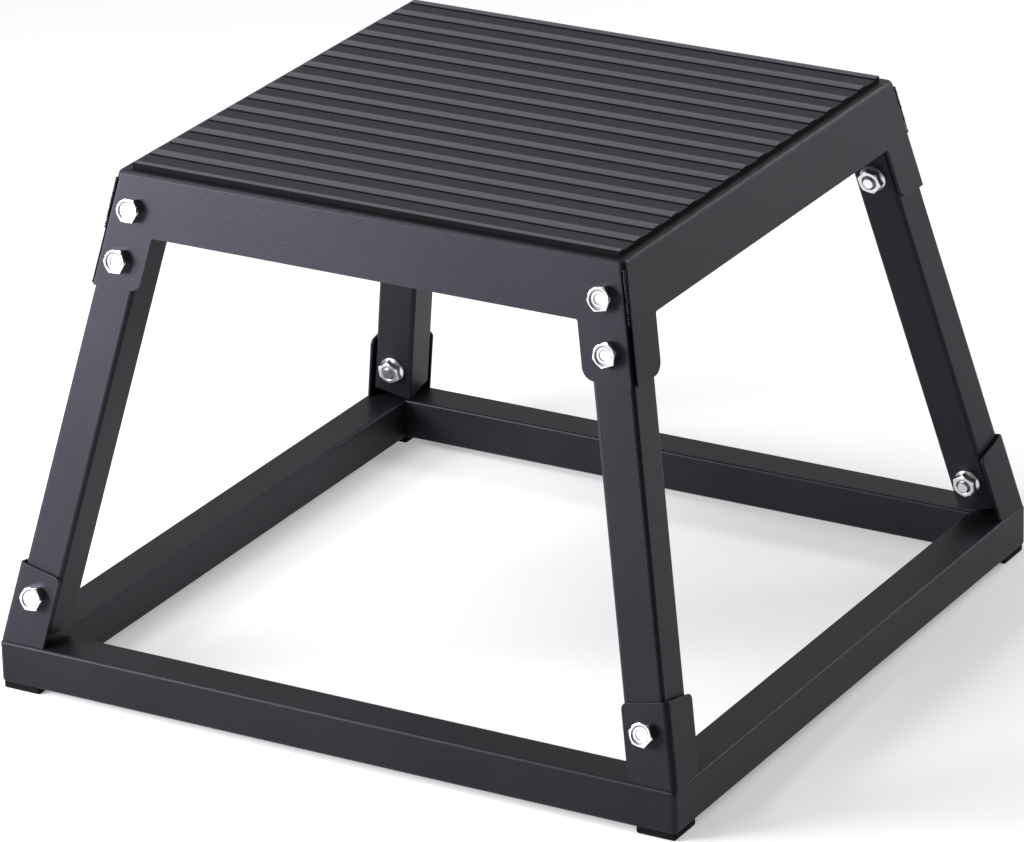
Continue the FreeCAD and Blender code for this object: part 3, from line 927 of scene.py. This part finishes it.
def makeWeld():
    draw = random.Random(weld["seed"])
    bm = bmesh.new()
    count = int((weld["end"] - weld["start"]) / weld["step"])
    for i in range(count):
        along = weld["start"] + i * weld["step"]
        taper = 1 - weld["taper"] * i / count
        spot = plateCorner + cornerDown * along * mm + cornerInward * weld["sink"] * mm
        spot += cornerAcross * draw.uniform(-1, 1) * weld["wander"] * mm
        radius = weld["radius"] * taper * draw.uniform(weld["thinnest"], weld["thickest"]) * mm
        bmesh.ops.create_icosphere(bm, subdivisions=2, radius=radius, matrix=Matrix.Translation(spot))
    bead = makeObject("bead", bm)
    skin = bead.modifiers.new("skin", "REMESH")
    skin.mode = "VOXEL"
    skin.voxel_size = weld["voxel"] * mm
    bm = bakeModifiers(bead)
    bmesh.ops.smooth_vert(bm, verts=bm.verts, factor=weld["smooth"], use_axis_x=True, use_axis_y=True,
                          use_axis_z=True)
    return bm


finishPiece("corner_welds", atCorners(makeWeld()), [coatMaterial])
print("welds ready")


# Floor, lights and camera

studio = {
    "floorSize": 14.0, "floorColour": "#dadadc", "floorRough": 0.9,
    "floorGlow": 0.33,      # lifts the pale floor to white in the picture and in reflections
    "roomColour": "#ffffff", "roomLight": 0.10,
    "lampAim": 0.15,        # height that the lamps point at
}


# the pale floor is white to the camera, to mirrors and through glass, and keeps the shadow
def makeFloor():
    bm = bmesh.new()
    bmesh.ops.create_grid(bm, x_segments=1, y_segments=1, size=studio["floorSize"] / 2)
    floor = makeObject("floor", bm)
    material, tree, shader = newMaterial("paleFloor")
    path = addNode(tree, "ShaderNodeLightPath")
    mirrored = addNode(tree, "ShaderNodeMath", {0: path.outputs["Is Camera Ray"],
                       1: path.outputs["Is Glossy Ray"]}, operation="MAXIMUM")
    seen = addNode(tree, "ShaderNodeMath", {0: mirrored.outputs[0],
                   1: path.outputs["Is Transmission Ray"]}, operation="MAXIMUM")
    glow = addNode(tree, "ShaderNodeMath", {0: seen.outputs[0], 1: studio["floorGlow"]},
                   operation="MULTIPLY")
    tree.links.new(glow.outputs[0], shader.inputs["Emission Strength"])
    shader.inputs["Base Color"].default_value = linearColour(studio["floorColour"])
    shader.inputs["Emission Color"].default_value = (1, 1, 1, 1)
    shader.inputs["Roughness"].default_value = studio["floorRough"]
    shader.inputs["Specular IOR Level"].default_value = 0.0
    floor.data.materials.append(material)


def makeWorld():
    world = bpy.data.worlds.new("softRoom")
    world.use_nodes = True
    tree = world.node_tree
    tree.nodes.clear()
    room = addNode(tree, "ShaderNodeBackground", {"Color": linearColour(studio["roomColour"]),
                   "Strength": studio["roomLight"]})
    addNode(tree, "ShaderNodeOutputWorld", {"Surface": room.outputs[0]})
    scene.world = world


# softboxes: azimuth and elevation in degrees, sizes in metres
lamps = {
    "key": {"azimuth": -43, "elevation": 15, "distance": 1.5, "size": (0.7, 0.5), "watts": 35.0},
    "card": {"azimuth": -27, "elevation": 1, "distance": 1.9, "size": (1.0, 0.3), "watts": 1.1},
    "top": {"azimuth": -40, "elevation": 84, "distance": 1.5, "size": (2.4, 2.4), "watts": 9.0},
    "strip": {"azimuth": -50, "elevation": 52, "distance": 1.5, "size": (1.4, 0.25), "watts": 12.5},
    "edge": {"azimuth": 156, "elevation": 29, "distance": 1.7, "size": (1.0, 0.25), "watts": 9.0},
    "side": {"azimuth": 142, "elevation": 9, "distance": 1.7, "size": (0.7, 0.4), "watts": 4.0},
    "back": {"azimuth": 210, "elevation": 22, "distance": 2.0, "size": (1.6, 0.8), "watts": 3.4},
}


# direction from the middle; azimuth 0 is the front, and 90 the right
def onSphere(azimuth, elevation):
    turn = math.radians(azimuth)
    rise = math.radians(elevation)
    return Vector((math.sin(turn) * math.cos(rise), -math.cos(turn) * math.cos(rise), math.sin(rise)))


def makeLamps():
    for name, lamp in lamps.items():
        data = bpy.data.lights.new(name + "Softbox", "AREA")
        data.shape = "RECTANGLE"
        data.size, data.size_y = lamp["size"]
        data.energy = lamp["watts"]
        softbox = bpy.data.objects.new(name + "Softbox", data)
        outward = onSphere(lamp["azimuth"], lamp["elevation"])
        softbox.location = outward * lamp["distance"] + Vector((0, 0, studio["lampAim"]))
        softbox.rotation_euler = outward.to_track_quat("Z", "Y").to_euler()
        softbox.visible_camera = False
        scene.collection.objects.link(softbox)


view = {
    "azimuth": 30.247, "elevation": 22.718, "roll": -1.447,
    "distance": 3610.5, "target": (-2.17, -3.73, 123.28),
    "focalPixels": 6359.7, "imageWidth": 1024,
}


def makeCamera():
    data = bpy.data.cameras.new("photoCamera")
    data.sensor_fit = "HORIZONTAL"
    data.lens = view["focalPixels"] * data.sensor_width / view["imageWidth"]
    camera = bpy.data.objects.new("photoCamera", data)
    back = onSphere(view["azimuth"], view["elevation"])
    level = Vector((0, 0, 1)).cross(back).normalized()
    turn = Matrix((level, back.cross(level), back)).transposed().to_4x4()
    place = Vector(view["target"]) * mm + back * view["distance"] * mm
    roll = Matrix.Rotation(math.radians(view["roll"]), 4, "Z")
    camera.matrix_world = Matrix.Translation(place) @ turn @ roll
    scene.collection.objects.link(camera)
    scene.camera = camera


makeFloor()
makeWorld()
makeLamps()
makeCamera()
scene.view_settings.view_transform = "Standard"
print("studio ready")
